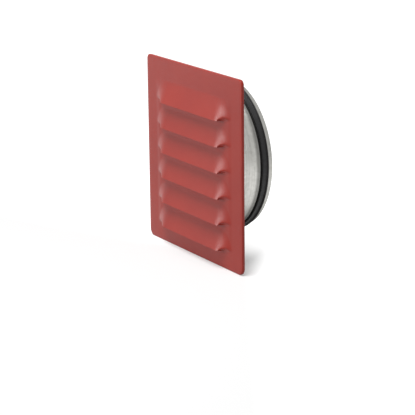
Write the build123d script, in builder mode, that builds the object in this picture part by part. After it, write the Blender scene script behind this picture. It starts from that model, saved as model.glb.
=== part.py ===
"""Wall vent grille: a louvred sheet-steel plate on a round spigot with a rubber duct seal.

Millimetres. +X is to the right seen from outside, the plate faces -Y, the spigot runs
along +Y into the wall and +Z is up. The origin lies on the spigot's axis, in the plane
where the plate's folded rim meets the wall.
"""

from build123d import *
import math
import os

# Plate
plate_width = 150.0
plate_height = 160.0
plate_sheet = 0.5
top_corner_radius = 3.0
bottom_corner_radius = 4.5
fold_radius = 0.8
rim_fold_width = 5.5
spigot_axis_above_plate_centre = 3.5

# Louvres, pressed outwards from the plate and cut open along their lower lips
louvre_count = 6
louvre_pitch = 21.6
first_lip_below_top_edge = 37.0
louvre_length = 116.0
louvre_depth = 5.75
skin_slope = 19.5
skin_foot_slope = 7.0
skin_foot_radius = 30.0
cheek_slope = 25.0
cheek_overrun = 1.0
crest_radius = 10.0
louvre_foot_depth = 0.15

# Bird screen of welded wire, held between the plate and the back plate
wire_diameter = 0.5
screen_opening = 12.2
screen_overlap = 5.0
weld_sink = 0.1

# Back plate, held by the plate's folded rim
back_sheet = 0.6
back_plate_clearance = 0.3

# Spigot, for a round duct
duct_bore = 125.0
duct_clearance = 0.4
spigot_sheet = 0.5
spigot_length = 35.1
flange_width = 7.0
flange_clearance = 0.3
bead_start = 19.5
bead_length = 3.4
bead_height = 0.7
hem_length = 5.2
hem_fold_gap = 0.1

# Rubber duct seal, one base band with two lips that lean back towards the plate
seal_base_thickness = 0.9
seal_seat_clearance = 0.05
seal_grip = 1.9
seal_lip_root = 1.5
seal_lip_lean = 1.1

# Levels, counted from the wall plane out to the plate's face
back_plate_level = plate_sheet
screen_level = back_plate_level + back_sheet
sheet_level = screen_level + 2 * wire_diameter - weld_sink
face_level = sheet_level + plate_sheet
plate_centre = -spigot_axis_above_plate_centre
lip_heights = [
    plate_centre + plate_height / 2 - first_lip_below_top_edge - louvre_pitch * row
    for row in range(louvre_count)
]

# Radii and stations of the spigot
hem_radius = duct_bore / 2 - duct_clearance
spigot_radius = hem_radius - spigot_sheet - hem_fold_gap
bore_radius = spigot_radius - spigot_sheet
flange_radius = spigot_radius + flange_width
bead_end = bead_start + bead_length
hem_start = spigot_length - hem_length
screen_radius = bore_radius + screen_overlap
wire_pitch = screen_opening + wire_diameter
wires_each_way = 2 * int(bore_radius / wire_pitch) + 1

os.makedirs("parts", exist_ok=True)


def draw_plate_outline(inset):
    """Draw the plate's outline in the open sketch, moved inwards by inset."""
    with Locations((0, plate_centre)):
        panel = Rectangle(plate_width - 2 * inset, plate_height - 2 * inset)
    if top_corner_radius > inset:
        panel = fillet(panel.vertices().group_by(Axis.Y)[-1], top_corner_radius - inset)
    if bottom_corner_radius > inset:
        fillet(panel.vertices().group_by(Axis.Y)[0], bottom_corner_radius - inset)


# The solid under one louvre's skin: its side view cut by its plan, with rounded crests.
# Its lip lies at height zero and the sheet's outer face at depth zero. The crests are
# the only edges of it that run askew to every axis.
level_edge_span = 0.01
foot_arc_depth = skin_foot_radius * (
    math.cos(math.radians(skin_foot_slope)) - math.cos(math.radians(skin_slope))
)

with BuildPart() as louvre_form:
    with BuildSketch(Plane.YZ):
        with BuildLine():
            skin = PolarLine(
                (-louvre_depth, 0),
                louvre_depth + louvre_foot_depth - foot_arc_depth,
                90 - skin_slope,
                length_mode=LengthMode.HORIZONTAL,
            )
            foot = JernArc(skin @ 1, skin % 1, skin_foot_radius, skin_slope - skin_foot_slope)
            louvre_height = (foot @ 1).Y
            Polyline(foot @ 1, (plate_sheet / 2, louvre_height), (plate_sheet / 2, 0), skin @ 0)
        make_face()
    extrude(amount=louvre_length / 2, both=True)
    with BuildSketch(Plane.XY):
        with BuildLine():
            base = Line((-louvre_length / 2, plate_sheet / 2), (louvre_length / 2, plate_sheet / 2))
            cheek = PolarLine(
                base @ 0,
                louvre_depth + cheek_overrun + plate_sheet / 2,
                -cheek_slope,
                length_mode=LengthMode.VERTICAL,
            )
            Polyline(cheek @ 1, (-(cheek @ 1).X, (cheek @ 1).Y), base @ 1)
        make_face()
    extrude(amount=louvre_height, mode=Mode.INTERSECT)
    crests = louvre_form.edges().filter_by(
        lambda edge: min(edge.bounding_box().size) > level_edge_span
    )
    fillet(crests, crest_radius)

with BuildPart() as louvre_plate:
    with BuildSketch(Plane.XZ):
        draw_plate_outline(0)
    extrude(amount=face_level)
    fillet(louvre_plate.faces().sort_by(Axis.Y)[0].edges(), fold_radius)
    with BuildSketch(Plane.XZ):
        draw_plate_outline(rim_fold_width)
    extrude(amount=plate_sheet, mode=Mode.SUBTRACT)
    with BuildSketch(Plane.XZ.offset(back_plate_level)):
        draw_plate_outline(plate_sheet)
    extrude(amount=sheet_level - back_plate_level, mode=Mode.SUBTRACT)
    with Locations([(0, -face_level, height) for height in lip_heights]):
        add(louvre_form.part)
    with Locations([(0, -sheet_level, height) for height in lip_heights]):
        add(louvre_form.part, mode=Mode.SUBTRACT)

louvre_plate.part.label = "louvre_plate"
export_step(louvre_plate.part, "parts/louvre_plate.step")

with BuildPart() as back_plate:
    with BuildSketch(Plane.XZ.offset(back_plate_level)):
        draw_plate_outline(plate_sheet + back_plate_clearance)
        Circle(bore_radius, mode=Mode.SUBTRACT)
    extrude(amount=back_sheet)

back_plate.part.label = "back_plate"
export_step(back_plate.part, "parts/back_plate.step")

with BuildPart() as bird_screen:
    with BuildSketch(Plane.XZ.offset(screen_level)):
        with GridLocations(wire_pitch, wire_pitch, wires_each_way, 1):
            Rectangle(wire_diameter, 2 * screen_radius)
    extrude(amount=wire_diameter)
    with BuildSketch(Plane.XZ.offset(screen_level + wire_diameter - weld_sink)):
        with GridLocations(wire_pitch, wire_pitch, 1, wires_each_way):
            Rectangle(2 * screen_radius, wire_diameter)
    extrude(amount=wire_diameter)
    with BuildSketch(Plane.XZ.offset(screen_level)):
        Circle(screen_radius)
    extrude(amount=2 * wire_diameter, mode=Mode.INTERSECT)

bird_screen.part.label = "bird_screen"
export_step(bird_screen.part, "parts/bird_screen.step")

# The flange is trimmed to lie inside the folded rim, and the wall is drawn as its
# half-section: radius along X, depth into the wall along Y.
with BuildPart() as spigot:
    with BuildSketch(Plane.XZ):
        draw_plate_outline(rim_fold_width + flange_clearance)
        Circle(flange_radius, mode=Mode.INTERSECT)
        Circle(bore_radius, mode=Mode.SUBTRACT)
    extrude(amount=spigot_sheet)
    with BuildSketch(Plane.XY):
        with BuildLine():
            Polyline(
                (bore_radius, -spigot_sheet),
                (spigot_radius, -spigot_sheet),
                (spigot_radius, bead_start),
                (spigot_radius + bead_height, bead_start + bead_length / 2),
                (spigot_radius, bead_end),
                (spigot_radius, hem_start),
                (hem_radius, hem_start),
                (hem_radius, spigot_length),
                (bore_radius, spigot_length),
                (bore_radius, bead_end),
                (bore_radius + bead_height, bead_start + bead_length / 2),
                (bore_radius, bead_start),
                close=True,
            )
        make_face()
    revolve(axis=Axis.Y)

spigot.part.label = "spigot"
export_step(spigot.part, "parts/spigot.step")

# Half-section of the seal: the base lies in the groove between the bead and the hem
seal_inner_radius = spigot_radius + seal_seat_clearance
seal_base_radius = seal_inner_radius + seal_base_thickness
seal_radius = duct_bore / 2 + seal_grip

with BuildPart() as seal_ring:
    with BuildSketch(Plane.XY):
        with BuildLine():
            Polyline(
                (seal_inner_radius, bead_end),
                (seal_radius, bead_end - seal_lip_lean),
                (seal_base_radius, bead_end + seal_lip_root),
                (seal_base_radius, hem_start - seal_lip_root),
                (seal_radius, hem_start - seal_lip_lean),
                (seal_inner_radius, hem_start),
                close=True,
            )
        make_face()
    revolve(axis=Axis.Y)

seal_ring.part.label = "seal_ring"
export_step(seal_ring.part, "parts/seal_ring.step")
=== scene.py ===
"""Wall vent grille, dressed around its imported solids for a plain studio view.

The louvred plate, the spigot, its duct seal and the bird screen get finer meshes in the
place of their solids, and the back plate keeps its own. Class fields are millimetres in
the part's own frame: +X to the right seen from outside, +Y into the wall along the
spigot and +Z up. Blender's objects are in metres.
"""

import logging
import math
from dataclasses import dataclass
from enum import Enum

import bmesh
import bpy
from mathutils import Matrix, Vector


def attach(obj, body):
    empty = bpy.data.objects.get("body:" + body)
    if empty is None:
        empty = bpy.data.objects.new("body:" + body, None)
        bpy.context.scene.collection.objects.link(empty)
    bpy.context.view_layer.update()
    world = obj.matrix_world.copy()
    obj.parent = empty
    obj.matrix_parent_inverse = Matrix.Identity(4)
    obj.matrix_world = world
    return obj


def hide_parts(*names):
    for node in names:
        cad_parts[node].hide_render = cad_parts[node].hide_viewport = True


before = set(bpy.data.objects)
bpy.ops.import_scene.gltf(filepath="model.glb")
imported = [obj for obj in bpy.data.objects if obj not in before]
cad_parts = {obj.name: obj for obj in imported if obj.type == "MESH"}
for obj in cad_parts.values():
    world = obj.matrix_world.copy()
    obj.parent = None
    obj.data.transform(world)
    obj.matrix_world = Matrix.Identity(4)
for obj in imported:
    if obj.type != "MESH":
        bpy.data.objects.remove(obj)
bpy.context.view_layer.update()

logger = logging.getLogger("wall_vent_grille")

MM = 0.001
PHOTO_SIDE_PX = 415

# Nearly all of a noise lies between these two values
NOISE_LOW = 0.3
NOISE_HIGH = 0.7

# Vertices of a turned ring that lie closer than this are one
RING_WELD_REACH = 0.001

Point = tuple[float, float, float]
Colour = tuple[float, float, float, float]


class RecordSlot(Enum):
    """Names of the record's material slots."""

    PAINT = "red_paint"
    SHEET = "galvanised_sheet"
    WIRE = "galvanised_wire"
    RUBBER = "seal_rubber"


class BackgroundRay(Enum):
    """Outputs of the Light Path node for the rays that see the pale background."""

    CAMERA = "Is Camera Ray"
    GLOSSY = "Is Glossy Ray"
    TRANSMISSION = "Is Transmission Ray"


class Octaves(Enum):
    """How many finer layers lie on a noise."""

    PLAIN = 1.0
    SOFT = 2.0
    MIXED = 3.0
    CLOUDY = 4.0


class Joining(Enum):
    """How two values become one."""

    SUM = "ADD"
    GREATER = "MAXIMUM"
    SOFTLY_GREATER = "SMOOTH_MAX"


class FloorMeasure(Enum):
    """Whether a place's distance on the floor is counted one way or all round."""

    ONE_WAY = "DOT_PRODUCT"
    ALL_ROUND = "LENGTH"


def linear_colour(hex_colour: str) -> Colour:
    """Turn an sRGB hex colour into linear light.

    Args:
        hex_colour: Six hex digits after a hash sign.

    Returns:
        Red, green, blue and an alpha of one.
    """
    channels = [int(hex_colour[i : i + 2], 16) / 255 for i in (1, 3, 5)]
    linear = [c / 12.92 if c <= 0.04045 else ((c + 0.055) / 1.055) ** 2.4 for c in channels]
    return (*linear, 1.0)


def smooth_step(share: float) -> float:
    """Ease a share from zero to one with level ends, and hold it beyond them."""
    share = min(max(share, 0), 1)
    return share * share * (3 - 2 * share)


def add_node(
    tree: bpy.types.NodeTree,
    kind: str,
    settings: dict[str | int, object] | None = None,
    links: dict[str | int, bpy.types.NodeSocket] | None = None,
    stops: list[tuple[float, Colour]] | None = None,
) -> bpy.types.Node:
    """Add one shader node with its settings and links.

    Args:
        tree: The node tree that gets the node.
        kind: The node's type name.
        settings: Values by property name, or by input name or number.
        links: Output sockets by the name or number of the input that they feed.
        stops: Position and colour of each stop of a colour ramp, from low to high.

    Returns:
        The new node.
    """
    node = tree.nodes.new(kind)
    for key, value in (settings or {}).items():
        if isinstance(key, str) and key not in node.inputs:
            setattr(node, key, value)
        else:
            node.inputs[key].default_value = value
    for key, source in (links or {}).items():
        tree.links.new(source, node.inputs[key])
    for number, (position, colour) in enumerate(stops or []):
        elements = node.color_ramp.elements
        stop = elements[number] if number < len(elements) else elements.new(position)
        stop.position = position
        stop.color = colour
    return node


def new_material(name: str) -> tuple[bpy.types.Material, bpy.types.NodeTree]:
    """Make an empty node material.

    Args:
        name: The material's name.

    Returns:
        The material and its cleared node tree.
    """
    material = bpy.data.materials.new(name)
    material.use_nodes = True
    material.node_tree.nodes.clear()
    return material, material.node_tree


def place_in_mm(tree: bpy.types.NodeTree) -> bpy.types.NodeSocket:
    """Add the surface's own place as a vector counted in millimetres.

    Args:
        tree: The node tree that gets the nodes.

    Returns:
        The vector's output socket.
    """
    place = add_node(tree, "ShaderNodeTexCoord").outputs["Object"]
    scaled = add_node(
        tree, "ShaderNodeVectorMath", {"operation": "SCALE", "Scale": 1 / MM}, {0: place}
    )
    return scaled.outputs["Vector"]


def patchy_value(
    tree: bpy.types.NodeTree,
    place: bpy.types.NodeSocket,
    patch_mm: float,
    octaves: Octaves,
    low: float = 0.0,
    high: float = 1.0,
) -> bpy.types.NodeSocket:
    """Add a value that wanders between two limits over patches of a real size.

    Args:
        tree: The node tree that gets the nodes.
        place: The place on the surface, in millimetres.
        patch_mm: The size of one patch.
        octaves: How many finer layers lie on the patches.
        low: The lower limit.
        high: The upper limit.

    Returns:
        The value.
    """
    noise = add_node(
        tree,
        "ShaderNodeTexNoise",
        {"Scale": 1 / patch_mm, "Detail": octaves.value},
        {"Vector": place},
    )
    ranged = add_node(
        tree,
        "ShaderNodeMapRange",
        {"From Min": NOISE_LOW, "From Max": NOISE_HIGH, "To Min": low, "To Max": high},
        {"Value": noise.outputs["Fac"]},
    )
    return ranged.outputs["Result"]


def fine_relief(
    tree: bpy.types.NodeTree,
    place: bpy.types.NodeSocket,
    grain_mm: float,
    octaves: Octaves,
    depth_mm: float,
) -> bpy.types.NodeSocket:
    """Add the surface's normal, disturbed by grains of a real size.

    Args:
        tree: The node tree that gets the nodes.
        place: The place on the surface, in millimetres.
        grain_mm: The size of one grain.
        octaves: How many finer layers lie on the grains.
        depth_mm: How deep the relief is.

    Returns:
        The disturbed normal.
    """
    noise = add_node(
        tree,
        "ShaderNodeTexNoise",
        {"Scale": 1 / grain_mm, "Detail": octaves.value},
        {"Vector": place},
    )
    bump = add_node(
        tree, "ShaderNodeBump", {"Distance": depth_mm * MM}, {"Height": noise.outputs["Fac"]}
    )
    return bump.outputs["Normal"]


def join_values(
    tree: bpy.types.NodeTree,
    values: list[bpy.types.NodeSocket],
    joining: Joining,
    settings: dict[str | int, object] | None = None,
) -> bpy.types.NodeSocket:
    """Join a row of values into one.

    Args:
        tree: The node tree that gets the nodes.
        values: Two or more values.
        joining: How each is joined with those before it.
        settings: Further settings of each joint.

    Returns:
        The joined value.
    """
    joined = values[0]
    for value in values[1:]:
        joint = add_node(
            tree,
            "ShaderNodeMath",
            {"operation": joining.value, **(settings or {})},
            {0: joined, 1: value},
        )
        joined = joint.outputs["Value"]
    return joined


def background_share(tree: bpy.types.NodeTree) -> bpy.types.NodeSocket:
    """Add a factor of one for the rays that see the background, zero for the rest.

    Args:
        tree: The node tree that gets the nodes.

    Returns:
        The factor.
    """
    path = add_node(tree, "ShaderNodeLightPath")
    return join_values(tree, [path.outputs[ray.value] for ray in BackgroundRay], Joining.GREATER)


def finish_surface(
    tree: bpy.types.NodeTree,
    settings: dict[str | int, object],
    links: dict[str | int, bpy.types.NodeSocket],
) -> None:
    """Close a material with its principled shader and output.

    Args:
        tree: The node tree that gets the nodes.
        settings: Values of the shader's inputs.
        links: Sockets that feed the shader's inputs.
    """
    shader = add_node(tree, "ShaderNodeBsdfPrincipled", settings, links)
    add_node(tree, "ShaderNodeOutputMaterial", {}, {"Surface": shader.outputs["BSDF"]})


@dataclass(frozen=True)
class BakedCoilCoat:
    """Polyester paint, rolled on the steel strip and baked before it is pressed.

    The eye gets an even iron-oxide red of low gloss, with a fine orange peel that softens
    every highlight, and a slightly uneven tone where the pressing stretched the film.
    """

    colour: str = "#9E2A1D"
    deep_colour: str = "#97261B"
    roughness: float = 0.31
    roughness_swing: float = 0.03
    paint_ior: float = 1.355
    tone_patch_mm: float = 34.0
    gloss_patch_mm: float = 4.4
    # Real orange peel is usually half as wide, too fine to show in this view
    orange_peel_mm: float = 1.1
    peel_depth_mm: float = 0.012

    def material(self) -> bpy.types.Material:
        """Build the paint's material.

        Returns:
            The material.
        """
        material, tree = new_material("polyester_coil_coat_baked")
        place = place_in_mm(tree)
        tone = add_node(
            tree,
            "ShaderNodeValToRGB",
            links={"Fac": patchy_value(tree, place, self.tone_patch_mm, Octaves.MIXED)},
            stops=[(0.0, linear_colour(self.deep_colour)), (1.0, linear_colour(self.colour))],
        )
        gloss = patchy_value(
            tree,
            place,
            self.gloss_patch_mm,
            Octaves.SOFT,
            self.roughness - self.roughness_swing,
            self.roughness + self.roughness_swing,
        )
        peel = fine_relief(tree, place, self.orange_peel_mm, Octaves.SOFT, self.peel_depth_mm)
        finish_surface(
            tree,
            {"IOR": self.paint_ior},
            {"Base Color": tone.outputs["Color"], "Roughness": gloss, "Normal": peel},
        )
        return material


@dataclass(frozen=True)
class HotDipZinc:
    """Zinc from the hot-dip line, cooled in small flat crystals and then rolled.

    The eye gets a cool light-grey metal, cloudy rather than bright, whose crystals differ a
    little in tone and gloss, with faint rolling marks along the strip. From the bead to the
    hem the zinc is drawn darker in a band.
    """

    colour: str = "#BFBEBA"
    shaded_colour: str = "#93928D"
    edge_tint: str = "#8C8C8A"
    roughness: float = 0.36
    roughness_swing: float = 0.04
    crystal_mm: float = 2.6
    crystal_share: float = 0.3
    cloud_mm: float = 22.0
    cloud_share: float = 0.3
    # Real rolling lines are usually 0.2 mm apart or less, too fine to show in this view
    rolling_line_mm: float = 1.7
    rolling_line_stretch: float = 0.03
    rolling_line_share: float = 0.5
    ripple_depth_mm: float = 0.004
    # The collar's zinc is drawn darker in a band from here to the hem
    dark_band_from_mm: float = 19.4
    dark_band_length_mm: float = 15.7
    # Share of the darker band's length, and the zinc's tone there
    dark_band_tones: tuple[tuple[float, float], ...] = (
        (0.0, 1.0),
        (0.13, 0.5),
        (0.32, 0.48),
        (0.6, 0.8),
        (1.0, 0.95),
    )

    def plain_colour(
        self, tree: bpy.types.NodeTree, place: bpy.types.NodeSocket, crystal: bpy.types.NodeSocket
    ) -> bpy.types.NodeSocket:
        """Add the colour of plain sheet, from its rolling lines, crystals and clouds.

        Args:
            tree: The node tree that gets the nodes.
            place: The place on the surface, in millimetres.
            crystal: A random value for each crystal.

        Returns:
            The colour.
        """
        along_strip = add_node(
            tree,
            "ShaderNodeMapping",
            {"Scale": (self.rolling_line_stretch, 1.0, self.rolling_line_stretch)},
            {"Vector": place},
        ).outputs["Vector"]
        rolling = patchy_value(
            tree, along_strip, self.rolling_line_mm, Octaves.SOFT, high=self.rolling_line_share
        )
        facets = add_node(
            tree, "ShaderNodeMapRange", {"To Max": self.crystal_share}, {"Value": crystal}
        ).outputs["Result"]
        clouds = patchy_value(tree, place, self.cloud_mm, Octaves.CLOUDY, high=self.cloud_share)
        pattern = join_values(tree, [rolling, facets, clouds], Joining.SUM, {"use_clamp": True})
        ramp = add_node(
            tree,
            "ShaderNodeValToRGB",
            links={"Fac": pattern},
            stops=[(0.0, linear_colour(self.shaded_colour)), (1.0, linear_colour(self.colour))],
        )
        return ramp.outputs["Color"]

    def dark_band_tone(
        self, tree: bpy.types.NodeTree, place: bpy.types.NodeSocket
    ) -> bpy.types.NodeSocket:
        """Add the tone of the zinc along the collar, drawn darker in a band from bead to hem.

        Args:
            tree: The node tree that gets the nodes.
            place: The place on the surface, in millimetres.

        Returns:
            The tone, one on plain sheet.
        """
        depth = add_node(tree, "ShaderNodeSeparateXYZ", {}, {0: place}).outputs["Y"]
        dark_band_to_mm = self.dark_band_from_mm + self.dark_band_length_mm
        along = add_node(
            tree,
            "ShaderNodeMapRange",
            {"From Min": self.dark_band_from_mm, "From Max": dark_band_to_mm},
            {"Value": depth},
        )
        ramp = add_node(
            tree,
            "ShaderNodeValToRGB",
            links={"Fac": along.outputs["Result"]},
            stops=[(share, (tone, tone, tone, 1.0)) for share, tone in self.dark_band_tones],
        )
        return ramp.outputs["Color"]

    def material(self) -> bpy.types.Material:
        """Build the zinc's material.

        Returns:
            The material.
        """
        material, tree = new_material("steel_sheet_hot_dip_galvanised")
        place = place_in_mm(tree)
        cells = add_node(
            tree, "ShaderNodeTexVoronoi", {"Scale": 1 / self.crystal_mm}, {"Vector": place}
        )
        crystal = add_node(tree, "ShaderNodeSeparateColor", {}, {"Color": cells.outputs["Color"]})
        colour = add_node(
            tree,
            "ShaderNodeVectorMath",
            {"operation": "MULTIPLY"},
            {
                0: self.plain_colour(tree, place, crystal.outputs["Red"]),
                # The plain colour is drawn darker in a band from the bead to the hem
                1: self.dark_band_tone(tree, place),
            },
        )
        gloss = add_node(
            tree,
            "ShaderNodeMapRange",
            {
                "To Min": self.roughness - self.roughness_swing,
                "To Max": self.roughness + self.roughness_swing,
            },
            {"Value": crystal.outputs["Green"]},
        )
        ripple = fine_relief(tree, place, self.crystal_mm, Octaves.MIXED, self.ripple_depth_mm)
        finish_surface(
            tree,
            {"Metallic": 1.0, "Specular Tint": linear_colour(self.edge_tint)},
            {
                "Base Color": colour.outputs["Vector"],
                "Roughness": gloss.outputs["Result"],
                "Normal": ripple,
            },
        )
        return material


@dataclass(frozen=True)
class GalvanisedWire:
    """Drawn steel wire, zinc coated after it was welded into a mesh.

    The eye gets a duller and rougher zinc than on the sheet, a little lumpy along the wire
    and paler on the lumps.
    """

    colour: str = "#BFC1C2"
    shaded_colour: str = "#9EA1A4"
    roughness: float = 0.45
    lump_mm: float = 2.5
    lump_depth_mm: float = 0.03

    def material(self) -> bpy.types.Material:
        """Build the wire's material.

        Returns:
            The material.
        """
        material, tree = new_material("steel_wire_galvanised_after_welding")
        lumps = add_node(
            tree,
            "ShaderNodeTexNoise",
            {"Scale": 1 / self.lump_mm, "Detail": Octaves.SOFT.value},
            {"Vector": place_in_mm(tree)},
        ).outputs["Fac"]
        tone = add_node(
            tree,
            "ShaderNodeValToRGB",
            links={"Fac": lumps},
            stops=[(0.0, linear_colour(self.shaded_colour)), (1.0, linear_colour(self.colour))],
        )
        skin = add_node(
            tree, "ShaderNodeBump", {"Distance": self.lump_depth_mm * MM}, {"Height": lumps}
        )
        finish_surface(
            tree,
            {"Metallic": 1.0, "Roughness": self.roughness},
            {"Base Color": tone.outputs["Color"], "Normal": skin.outputs["Normal"]},
        )
        return material


@dataclass(frozen=True)
class ExtrudedRubber:
    """EPDM rubber, extruded as a strip and joined into a ring.

    The eye gets a near-black of very low gloss, greyed by fine dust and talc, with faint
    lines along the strip from the die.
    """

    colour: str = "#080809"
    dusty_colour: str = "#161516"
    roughness: float = 0.54
    roughness_swing: float = 0.08
    rubber_ior: float = 1.45
    dust_mm: float = 6.0
    gloss_patch_mm: float = 2.0
    # Real die lines are usually 0.2 mm apart or less, too fine to show in this view
    die_line_mm: float = 0.6
    die_line_stretch: float = 0.02
    die_line_depth_mm: float = 0.03

    def material(self) -> bpy.types.Material:
        """Build the rubber's material.

        Returns:
            The material.
        """
        material, tree = new_material("epdm_rubber_extruded")
        place = place_in_mm(tree)
        tone = add_node(
            tree,
            "ShaderNodeValToRGB",
            links={"Fac": patchy_value(tree, place, self.dust_mm, Octaves.CLOUDY)},
            stops=[(0.0, linear_colour(self.colour)), (1.0, linear_colour(self.dusty_colour))],
        )
        gloss = patchy_value(
            tree,
            place,
            self.gloss_patch_mm,
            Octaves.SOFT,
            self.roughness - self.roughness_swing,
            self.roughness + self.roughness_swing,
        )
        along_strip = add_node(
            tree,
            "ShaderNodeMapping",
            {"Scale": (self.die_line_stretch, 1.0, self.die_line_stretch)},
            {"Vector": place},
        ).outputs["Vector"]
        lines = fine_relief(
            tree, along_strip, self.die_line_mm, Octaves.PLAIN, self.die_line_depth_mm
        )
        finish_surface(
            tree,
            {"IOR": self.rubber_ior},
            {"Base Color": tone.outputs["Color"], "Roughness": gloss, "Normal": lines},
        )
        return material


@dataclass(frozen=True)
class GlowRamp:
    """A stretch of floor over which the paper's glow rises to a paler level."""

    measure: FloorMeasure
    near: float
    far: float
    glow: float
    # The direction in which a one-way distance is counted
    way: Point = (0.0, 0.0, 0.0)

    def build(
        self, tree: bpy.types.NodeTree, place: bpy.types.NodeSocket, shaded_glow: float
    ) -> bpy.types.NodeSocket:
        """Add the ramp's glow.

        Args:
            tree: The node tree that gets the nodes.
            place: The place on the floor, in millimetres.
            shaded_glow: The glow on the near side of the ramp.

        Returns:
            The glow's strength, which is one for white.
        """
        distance = add_node(
            tree, "ShaderNodeVectorMath", {"operation": self.measure.value, 1: self.way}, {0: place}
        )
        ramp = add_node(
            tree,
            "ShaderNodeMapRange",
            {
                "interpolation_type": "SMOOTHSTEP",
                "From Min": self.near,
                "From Max": self.far,
                "To Min": shaded_glow,
                "To Max": self.glow,
            },
            {"Value": distance.outputs["Value"]},
        )
        return ramp.outputs["Result"]


@dataclass(frozen=True)
class StudioPaper:
    """Matt white paper, uncoated and laid flat under the grille.

    The eye gets plain white, apart from a soft contact shadow beside the plate's right
    foot: the glow hides the rest of the shadow behind the plate, to its right and far off.
    """

    colour: str = "#CACACA"
    shaded_glow: float = 0.29
    glow_ramps: tuple[GlowRamp, ...] = (
        GlowRamp(FloorMeasure.ONE_WAY, -29.0, 32.0, 0.8, way=(-0.4, 0.917, 0.0)),
        GlowRamp(FloorMeasure.ONE_WAY, 18.5, 44.5, 0.85, way=(0.52, 0.854, 0.0)),
        GlowRamp(FloorMeasure.ALL_ROUND, 450.0, 1100.0, 1.0),
    )
    ramp_softness: float = 0.1

    def material(self) -> bpy.types.Material:
        """Build the paper's material.

        Returns:
            The material.
        """
        material, tree = new_material("studio_paper_matt")
        place = place_in_mm(tree)
        whiteness = join_values(
            tree,
            [ramp.build(tree, place, self.shaded_glow) for ramp in self.glow_ramps],
            Joining.SOFTLY_GREATER,
            {2: self.ramp_softness},
        )
        strength = add_node(
            tree,
            "ShaderNodeMath",
            {"operation": "MULTIPLY"},
            {0: background_share(tree), 1: whiteness},
        )
        glow = add_node(tree, "ShaderNodeEmission", {}, {"Strength": strength.outputs["Value"]})
        paper = add_node(tree, "ShaderNodeBsdfDiffuse", {"Color": linear_colour(self.colour)})
        both = add_node(
            tree,
            "ShaderNodeAddShader",
            {},
            {0: paper.outputs["BSDF"], 1: glow.outputs["Emission"]},
        )
        add_node(tree, "ShaderNodeOutputMaterial", {}, {"Surface": both.outputs["Shader"]})
        return material


def mesh_object(
    name: str, points_mm: list[Point], faces: list[tuple[int, ...]]
) -> bpy.types.Object:
    """Make an object from points in millimetres.

    Args:
        name: The piece's name.
        points_mm: The vertices.
        faces: Vertex numbers of each face.

    Returns:
        The new object, linked into the scene.
    """
    mesh = bpy.data.meshes.new(name)
    mesh.from_pydata([Vector(point) * MM for point in points_mm], [], faces)
    piece = bpy.data.objects.new(name, mesh)
    bpy.context.scene.collection.objects.link(piece)
    return piece


def weld_points(piece: bpy.types.Object, reach_mm: float, outward: bool) -> None:
    """Join vertices that lie together, and turn a closed piece's faces outwards.

    Args:
        piece: The piece to clean.
        reach_mm: How far apart joined vertices may lie.
        outward: Whether the faces are turned outwards.
    """
    work = bmesh.new()
    work.from_mesh(piece.data)
    bmesh.ops.remove_doubles(work, verts=work.verts, dist=reach_mm * MM)
    if outward:
        bmesh.ops.recalc_face_normals(work, faces=work.faces)
    work.to_mesh(piece.data)
    work.free()


def settle_modifiers(piece: bpy.types.Object) -> None:
    """Turn a piece's modifiers into plain mesh.

    Args:
        piece: The piece to settle.
    """
    bpy.context.view_layer.update()
    graph = bpy.context.evaluated_depsgraph_get()
    settled = bpy.data.meshes.new_from_object(piece.evaluated_get(graph))
    piece.modifiers.clear()
    piece.data = settled


def shade_smooth(piece: bpy.types.Object, crease_degrees: float) -> None:
    """Shade a piece smoothly, apart from its sharp creases.

    Args:
        piece: The piece to shade.
        crease_degrees: The turn between two faces above which their edge stays sharp.
    """
    piece.data.shade_smooth()
    piece.data.set_sharp_from_angle(angle=math.radians(crease_degrees))


def dress(
    piece: bpy.types.Object, material: bpy.types.Material, node: str
) -> None:
    """Give a new piece its material and its place in the frame.

    Args:
        piece: The new piece.
        material: Its finish.
        node: The solid that the piece stands for.
    """
    piece.data.materials.clear()
    piece.data.materials.append(material)
    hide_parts(node)
    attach(piece, "root")


def round_corners(
    corners: list[tuple[float, float, float]], steps: int
) -> list[tuple[float, float]]:
    """Round each corner of a closed outline by its own radius.

    Args:
        corners: First coordinate, second coordinate and rounding radius of each corner.
        steps: How many straight spans stand for each rounding.

    Returns:
        The points of the rounded outline.
    """
    points = []
    for i, (x, y, radius) in enumerate(corners):
        here = Vector((x, y))
        if radius == 0:
            points.append((x, y))
            continue
        back = (Vector(corners[i - 1][:2]) - here).normalized()
        ahead = (Vector(corners[(i + 1) % len(corners)][:2]) - here).normalized()
        half_angle = back.angle(ahead) / 2
        centre = here + (back + ahead).normalized() * (radius / math.sin(half_angle))
        start = here + back * (radius / math.tan(half_angle)) - centre
        turn = math.pi - 2 * half_angle
        side = 1 if back.cross(ahead) < 0 else -1
        for step in range(steps + 1):
            angle = side * turn * step / steps
            arm = Matrix.Rotation(angle, 2) @ start
            points.append(tuple(centre + arm))
    return points


def revolve_outline(
    name: str, outline: list[tuple[float, float]], segments: int
) -> bpy.types.Object:
    """Turn a closed outline round the spigot's axis.

    Args:
        name: The piece's name.
        outline: Radius and depth into the wall of each point.
        segments: How many steps make the full turn.

    Returns:
        The ring.
    """
    points = []
    for segment in range(segments):
        angle = math.tau * segment / segments
        for radius, depth in outline:
            points.append((radius * math.cos(angle), depth, radius * math.sin(angle)))
    faces = []
    count = len(outline)
    for segment in range(segments):
        here = segment * count
        ahead = ((segment + 1) % segments) * count
        for i in range(count):
            j = (i + 1) % count
            faces.append((here + i, here + j, ahead + j, ahead + i))
    ring = mesh_object(name, points, faces)
    weld_points(ring, RING_WELD_REACH, outward=True)
    return ring


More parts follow.
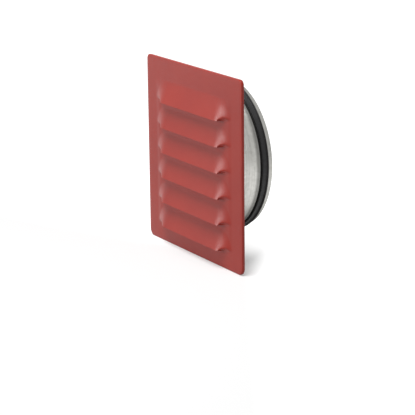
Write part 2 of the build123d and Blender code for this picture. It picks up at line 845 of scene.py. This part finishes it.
@dataclass
class LouvrePlate:
    """The pressed and folded front plate, one sheet from the louvres to the rim behind."""

    # Plate
    width: float = 150.0
    height: float = 160.0
    centre_height: float = -3.5
    sheet: float = 0.5
    face_level: float = 2.5
    top_corner_radius: float = 4.0
    bottom_corner_radius: float = 6.0

    # Edge, folded round to the rim behind
    fold_radius: float = 0.8
    rear_fold_radius: float = 0.45
    rim_width: float = 5.5
    corner_clearance: float = 0.2

    # Louvres
    louvres: int = 6
    louvre_pitch: float = 21.6
    first_lip_below_top: float = 37.0
    louvre_depth: float = 5.75
    louvre_height: float = 18.5
    skin_curve: float = 1.22
    form_half_length: float = 60.5
    end_rounding: float = 5.0
    crest_half_length: float = 39.5
    cheek_foot_share: float = 0.2
    cheek_crest_share: float = 0.5
    slit_half_length: float = 46.0
    closed_end_length: float = 6.0
    closed_end_height: float = 4.2

    # The louvred field, which the pressing draws up a little as a whole
    field_inset: float = 8.0
    field_raise: float = 0.22
    field_raise_width: float = 6.0

    # Mesh
    column_step: float = 0.8
    row_step: float = 1.2
    fine_row_step: float = 0.5
    fine_height: float = 6.0
    corner_spread: float = 8.0
    fold_steps: int = 5
    tolerance: float = 1e-6
    weld_reach: float = 0.002
    crease_degrees: float = 50.0

    def lip_heights(self) -> list[float]:
        """Return the height of each louvre's lip, from the top down."""
        first = self.centre_height + self.height / 2 - self.first_lip_below_top
        return [first - self.louvre_pitch * row for row in range(self.louvres)]

    def cheek_rise(self, share: float) -> float:
        """Return a cheek's rise: a rounded foot, a straight slope and a soft crest.

        Args:
            share: The share of the cheek's run, from its foot to its crest.

        Returns:
            The share of the skin's depth that is reached there.
        """
        foot, crest = self.cheek_foot_share, self.cheek_crest_share
        slope = 1 / (1 - (foot + crest) / 2)
        share = min(max(share, 0), 1)
        if share < foot:
            return slope * share * share / (2 * foot)
        if share > 1 - crest:
            return 1 - slope * (1 - share) ** 2 / (2 * crest)
        return slope * (share - foot / 2)

    def press_depth(self, across: float, above_lip: float) -> float:
        """Return how far a louvre stands out of the plate at one place.

        Args:
            across: The place's distance from the plate's middle line.
            above_lip: Its height above the louvre's lip.

        Returns:
            The depth, zero off the louvre.
        """
        share = max(1 - above_lip / self.louvre_height, 0)
        rounding = self.end_rounding * (1 - share) ** 2
        run = self.form_half_length - self.crest_half_length
        skin = self.louvre_depth * share**self.skin_curve
        skin *= self.cheek_rise((self.form_half_length - rounding - abs(across)) / run)
        past_slit = (abs(across) - self.slit_half_length) / self.closed_end_length
        if past_slit <= 0:
            return skin
        underside = self.closed_end_height * math.sqrt(min(past_slit, 1))
        return skin * smooth_step(above_lip / underside)

    def raised_sheet(self, across: float, height: float) -> float:
        """Return how far the sheet of the whole louvred field is drawn up by the pressing.

        Args:
            across: The place's distance from the plate's middle line.
            height: The place's height.

        Returns:
            The rise, zero in the margin round the field.
        """
        first, last = self.lip_heights()[0], self.lip_heights()[-1]
        middle = (first + self.louvre_height + last) / 2
        reach = first + self.louvre_height - middle
        rise = self.field_raise
        for inside in (self.form_half_length - abs(across), reach - abs(height - middle)):
            rise *= smooth_step(inside / self.field_raise_width)
        return rise

    def field_rows(self) -> list[tuple[float, float | None]]:
        """List the louvred field's rows of vertices from the top down.

        Returns:
            Each row's height, and its height above its louvre's lip or None on flat sheet.
            Two rows lie at each lip: the lip itself, and the flat sheet left behind it.
        """
        bottom = self.centre_height - self.height / 2 + self.field_inset
        rows = []
        upper = self.centre_height + self.height / 2 - self.field_inset
        for lip in self.lip_heights():
            stops = (upper, lip + self.fine_height, lip)
            heights = [upper]
            for high, low, step in zip(stops, stops[1:], (self.row_step, self.fine_row_step)):
                count = round((high - low) / step)
                heights += [high + (low - high) * (i + 1) / count for i in range(count)]
            if rows:
                rows.append((heights.pop(0), None))
            rows += [(height, height - lip) for height in heights]
            upper = lip
        steps = round((upper - bottom) / self.row_step)
        rows += [(upper + (bottom - upper) * i / steps, None) for i in range(steps + 1)]
        return rows

    def lay_field(self) -> tuple[list[Point], list[tuple[int, ...]], list[int]]:
        """Lay out the louvred field, which is all that lies inside the plain margin.

        Returns:
            The field's vertices, its faces, and its border's vertex numbers in turn.
        """
        half = self.width / 2 - self.field_inset
        columns = round(2 * half / self.column_step)
        wide = columns + 1
        rows = self.field_rows()
        last = len(rows) - 1
        points = []
        for height, above_lip in rows:
            for column in range(wide):
                x = -half + 2 * half * column / columns
                depth = 0.0 if above_lip is None else self.press_depth(x, above_lip)
                depth = max(depth, self.raised_sheet(x, height))
                points.append((x, -self.face_level - depth, height))
        faces = []
        for row in range(last):
            # The slit under a lip lies between two rows of one height
            if rows[row][0] == rows[row + 1][0]:
                continue
            for column in range(columns):
                a = row * wide + column
                faces.append((a, a + wide, a + wide + 1, a + 1))
        border = list(range(wide))
        border += [row * wide + columns for row in range(1, last + 1)]
        border += [last * wide + column for column in range(columns - 1, -1, -1)]
        border += [row * wide for row in range(last - 1, 0, -1)]
        return points, faces, border

    def outline_point(self, field_x: float, field_z: float, inset: float) -> tuple[float, float]:
        """Move a point of the field's border out to the plate's rounded outline.

        Args:
            field_x: The border point's place across.
            field_z: Its height above the plate's centre.
            inset: How far inside the outline the result lies.

        Returns:
            The result's place across and its height above the plate's centre.
        """
        radius = self.top_corner_radius if field_z > 0 else self.bottom_corner_radius
        half = (self.width / 2, self.height / 2)
        field = [side - self.field_inset for side in half]
        signs = (math.copysign(1, field_x), math.copysign(1, field_z))
        place = (abs(field_x), abs(field_z))
        along = 0 if field[1] - place[1] < self.tolerance else 1
        across = 1 - along
        start = field[along] - self.corner_spread
        straight = half[along] - radius - start
        travel = (place[along] - start) / self.corner_spread
        travel *= straight + radius * math.pi / 4
        result = [0.0, 0.0]
        if travel <= straight:
            result[along] = place[along] if travel < 0 else start + travel
            result[across] = half[across] - inset
            corner = half[along] - max(radius, inset)
            result[along] = min(result[along], corner) if inset > radius else result[along]
        elif inset > radius:
            result = [side - inset for side in half]
        else:
            angle = (travel - straight) / radius
            result[along] = half[along] - radius + (radius - inset) * math.sin(angle)
            result[across] = half[across] - radius + (radius - inset) * math.cos(angle)
        return result[0] * signs[0], result[1] * signs[1]

    def fold_stations(self) -> list[tuple[float, float]]:
        """List the folded edge's section from the face round to the rim behind.

        Returns:
            Each station's inset from the outline and its level before the wall.
        """
        front, rear = self.fold_radius, self.rear_fold_radius
        flat = self.top_corner_radius - self.corner_clearance
        turns = [math.pi / 2 * step / self.fold_steps for step in range(self.fold_steps + 1)]
        stations = [(flat, self.face_level)]
        for turn in turns:
            level = self.face_level - front * (1 - math.cos(turn))
            stations.append((front * (1 - math.sin(turn)), level))
        stations += [(rear * (1 - math.cos(t)), rear * (1 - math.sin(t))) for t in turns]
        stations += [(flat, 0.0), (self.rim_width, 0.0)]
        return stations

    def fold_edge(
        self, points: list[Point], faces: list[tuple[int, ...]], border: list[int]
    ) -> None:
        """Carry the field's border over the margin and round the edge to the rim behind.

        Args:
            points: The plate's vertices, which grow by those of the edge.
            faces: The plate's faces, which grow by those of the edge.
            border: The border's vertex numbers in turn.
        """
        inner = border
        for inset, level in self.fold_stations():
            outer = []
            for i in border:
                x, z = self.outline_point(points[i][0], points[i][2] - self.centre_height, inset)
                outer.append(len(points))
                points.append((x, -level, z + self.centre_height))
            for i in range(len(border)):
                j = (i + 1) % len(border)
                faces.append((inner[i], inner[j], outer[j], outer[i]))
            inner = outer

    def build(self, paint: bpy.types.Material) -> bpy.types.Object:
        """Build the plate.

        Args:
            paint: The plate's finish.

        Returns:
            The plate's object.
        """
        points, faces, border = self.lay_field()
        self.fold_edge(points, faces, border)
        plate = mesh_object("louvre_plate_pressed", points, faces)
        weld_points(plate, self.weld_reach, outward=False)
        # The sheet's thickness lies behind the face that is laid out above
        skin = plate.modifiers.new("sheet", "SOLIDIFY")
        skin.thickness = self.sheet * MM
        skin.offset = -1
        settle_modifiers(plate)
        shade_smooth(plate, self.crease_degrees)
        dress(plate, paint, "louvre_plate")
        return plate


@dataclass
class Spigot:
    """The round collar: a flange on the back plate, a rolled bead and a hemmed free end."""

    hem_radius: float = 62.1
    sheet: float = 0.5
    length: float = 35.1
    flange_width: float = 7.0
    flange_edge_rounding: float = 0.15
    bend_radius: float = 1.0
    bead_start: float = 18.0
    bead_crest: float = 23.2
    bead_end: float = 24.7
    bead_height: float = 0.6
    hem_length: float = 4.3
    hem_gap: float = 0.1
    hem_gap_depth: float = 0.4
    hem_front_rounding: float = 0.18
    hem_end_rounding: float = 0.5
    bead_steps: int = 8
    corner_steps: int = 4
    segments: int = 240
    crease_degrees: float = 40.0

    def bead_points(self, radius: float) -> list[tuple[float, float]]:
        """List the rolled bead's points from front to rear.

        Args:
            radius: The plain wall's radius beside the bead.

        Returns:
            Radius and depth into the wall of each point.
        """
        points = []
        for start, end, rising in (
            (self.bead_start, self.bead_crest, True),
            (self.bead_crest, self.bead_end, False),
        ):
            for step in range(self.bead_steps):
                share = step / self.bead_steps
                swell = math.sin(math.pi / 2 * (share if rising else 1 - share)) ** 2
                points.append((radius + self.bead_height * swell, start + (end - start) * share))
        return [*points, (radius, self.bead_end)]

    def build(self, zinc: bpy.types.Material) -> bpy.types.Object:
        """Build the spigot.

        Args:
            zinc: The spigot's finish.

        Returns:
            The spigot's object.
        """
        outer = self.hem_radius - self.sheet - self.hem_gap
        bore = outer - self.sheet
        flange = outer + self.flange_width
        hem_start = self.length - self.hem_length
        corners = [
            (bore, -self.sheet, 0.0),
            (flange, -self.sheet, self.flange_edge_rounding),
            (flange, 0.0, self.flange_edge_rounding),
            (outer, 0.0, self.bend_radius),
        ]
        corners += [(radius, depth, 0.0) for radius, depth in self.bead_points(outer)]
        corners += [
            (outer, hem_start + self.hem_gap_depth, 0.0),
            (outer + self.hem_gap, hem_start, 0.0),
            (self.hem_radius, hem_start, self.hem_front_rounding),
            (self.hem_radius, self.length, self.hem_end_rounding),
            (bore, self.length, self.hem_end_rounding),
        ]
        corners += [(radius, depth, 0.0) for radius, depth in reversed(self.bead_points(bore))]
        outline = round_corners(corners, self.corner_steps)
        collar = revolve_outline("spigot_rolled", outline, self.segments)
        shade_smooth(collar, self.crease_degrees)
        dress(collar, zinc, "spigot")
        return collar


@dataclass
class DuctSeal:
    """The rubber ring in the spigot's groove, with two lips that lean towards the plate."""

    inner_radius: float = 61.55
    base_thickness: float = 0.9
    front_lip_radius: float = 63.6
    rear_lip_radius: float = 64.4
    front: float = 24.7
    rear: float = 30.8
    lip_root: float = 1.5
    front_lip_lean: float = -0.2
    rear_lip_lean: float = 0.4
    heel_rounding: float = 0.1
    tip_rounding: float = 0.22
    root_rounding: float = 0.3
    corner_steps: int = 4
    segments: int = 240
    crease_degrees: float = 60.0

    def build(self, rubber: bpy.types.Material) -> bpy.types.Object:
        """Build the seal.

        Args:
            rubber: The seal's finish.

        Returns:
            The seal's object.
        """
        base = self.inner_radius + self.base_thickness
        corners = [
            (self.inner_radius, self.front, self.heel_rounding),
            (self.front_lip_radius, self.front - self.front_lip_lean, self.tip_rounding),
            (base, self.front + self.lip_root, self.root_rounding),
            (base, self.rear - self.lip_root, self.root_rounding),
            (self.rear_lip_radius, self.rear - self.rear_lip_lean, self.tip_rounding),
            (self.inner_radius, self.rear, self.heel_rounding),
        ]
        outline = round_corners(corners, self.corner_steps)
        ring = revolve_outline("duct_seal_extruded", outline, self.segments)
        shade_smooth(ring, self.crease_degrees)
        dress(ring, rubber, "seal_ring")
        return ring


@dataclass
class BirdScreen:
    """Welded mesh of round wire, clipped to a disc between the plate and the back plate."""

    wire: float = 0.5
    opening: float = 12.2
    disc_radius: float = 66.0
    bore_radius: float = 61.0
    rear_level: float = 1.1
    weld_sink: float = 0.1
    sides: int = 12
    crease_degrees: float = 50.0

    def build(self, wire_zinc: bpy.types.Material) -> bpy.types.Object:
        """Build the screen.

        Args:
            wire_zinc: The wires' finish.

        Returns:
            The screen's object.
        """
        pitch = self.opening + self.wire
        reach = int(self.bore_radius / pitch)
        work = bmesh.new()
        for upright in (True, False):
            level = self.rear_level + self.wire / 2
            level += 0 if upright else self.wire - self.weld_sink
            for step in range(-reach, reach + 1):
                offset = step * pitch
                length = 2 * math.sqrt(self.disc_radius**2 - offset**2)
                place = Vector((offset, -level, 0) if upright else (0, -level, offset)) * MM
                turn = Matrix() if upright else Matrix.Rotation(math.pi / 2, 4, "Y")
                bmesh.ops.create_cone(
                    work,
                    cap_ends=True,
                    segments=self.sides,
                    radius1=self.wire / 2 * MM,
                    radius2=self.wire / 2 * MM,
                    depth=length * MM,
                    matrix=Matrix.Translation(place) @ turn,
                )
        screen = mesh_object("bird_screen_wires", [], [])
        work.to_mesh(screen.data)
        work.free()
        shade_smooth(screen, self.crease_degrees)
        dress(screen, wire_zinc, "bird_screen")
        return screen


@dataclass
class BackPlate:
    """The flat sheet behind the louvres, which keeps its solid's own mesh."""

    node: str = "back_plate"

    def build(self, zinc: bpy.types.Material) -> bpy.types.Object:
        """Dress the back plate.

        Args:
            zinc: The sheet's finish.

        Returns:
            The solid's object.
        """
        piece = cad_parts[self.node]
        piece.data.materials.clear()
        piece.data.materials.append(zinc)
        return piece


@dataclass(frozen=True)
class SoftBox:
    """A square soft lamp that faces the grille."""

    name: str
    place: Point
    side: float
    watts: float

    def hang(self) -> None:
        """Hang the lamp in its place."""
        data = bpy.data.lights.new(self.name, "AREA")
        data.shape = "SQUARE"
        data.size = self.side * MM
        data.energy = self.watts
        lamp = bpy.data.objects.new(self.name, data)
        lamp.location = Vector(self.place) * MM
        lamp.rotation_euler = (-lamp.location).to_track_quat("-Z", "Y").to_euler()
        bpy.context.scene.collection.objects.link(lamp)


@dataclass
class Studio:
    """The pale floor, the soft lamps and the camera of the product view."""

    foot: Point = (0.0, 20.0, -83.5)
    floor_side: float = 9000.0
    ambient: float = 0.12
    lamps: tuple[SoftBox, ...] = (
        SoftBox("soft_box_above", (150.0, -350.0, 1350.0), 900.0, 23.0),
        SoftBox("soft_box_front", (-730.0, -1150.0, 340.0), 480.0, 7.0),
    )
    camera_place: Point = (1174.66, -701.09, 326.25)
    camera_right: Point = (0.52067, 0.8537, -0.01048)
    camera_up: Point = (-0.21734, 0.14441, 0.96535)
    focal_px: float = 1698.12
    sensor: float = 36.0
    near_clip: float = 50.0

    def build_camera(self) -> None:
        """Set the camera where the product view was taken from."""
        data = bpy.data.cameras.new("product_view")
        data.sensor_width = self.sensor
        data.lens = self.focal_px * self.sensor / PHOTO_SIDE_PX
        data.clip_start = self.near_clip * MM
        camera = bpy.data.objects.new("product_view", data)
        right = Vector(self.camera_right).normalized()
        up = Vector(self.camera_up)
        up = (up - right * up.dot(right)).normalized()
        back = right.cross(up)
        turn = Matrix((right, up, back)).transposed().to_4x4()
        camera.matrix_world = Matrix.Translation(Vector(self.camera_place) * MM) @ turn
        bpy.context.scene.collection.objects.link(camera)
        bpy.context.scene.camera = camera

    def build_world(self) -> None:
        """Set a white background and a plain soft light from all round."""
        world = bpy.data.worlds.new("studio_white")
        world.use_nodes = True
        tree = world.node_tree
        tree.nodes.clear()
        strength = add_node(
            tree,
            "ShaderNodeMapRange",
            {"To Min": self.ambient, "To Max": 1.0},
            {"Value": background_share(tree)},
        )
        light = add_node(
            tree,
            "ShaderNodeBackground",
            {"Color": (1, 1, 1, 1)},
            {"Strength": strength.outputs["Result"]},
        )
        add_node(tree, "ShaderNodeOutputWorld", {}, {"Surface": light.outputs["Background"]})
        bpy.context.scene.world = world

    def build_floor(self, paper: bpy.types.Material) -> None:
        """Lay the floor that the plate's lower edge stands on.

        Args:
            paper: The floor's finish.
        """
        side = self.floor_side / 2
        corners = [(-side, -side), (side, -side), (side, side), (-side, side)]
        floor = mesh_object("studio_floor", [(x, y, 0.0) for x, y in corners], [(0, 1, 2, 3)])
        floor.location = Vector(self.foot) * MM
        floor.data.materials.append(paper)

    def build(self) -> None:
        """Build the whole studio."""
        self.build_camera()
        self.build_world()
        self.build_floor(StudioPaper().material())
        for lamp in self.lamps:
            lamp.hang()
        bpy.context.scene.view_settings.view_transform = "Standard"


def main() -> None:
    """Build and dress the grille and its studio, piece by piece."""
    logging.basicConfig(level=logging.INFO)
    zinc = HotDipZinc().material()
    pieces = [
        LouvrePlate().build(BakedCoilCoat().material()),
        Spigot().build(zinc),
        DuctSeal().build(ExtrudedRubber().material()),
        BirdScreen().build(GalvanisedWire().material()),
        BackPlate().build(zinc),
    ]
    for piece in pieces:
        logger.info("%s has %d faces", piece.name, len(piece.data.polygons))
    Studio().build()


if __name__ == "__main__":
    main()
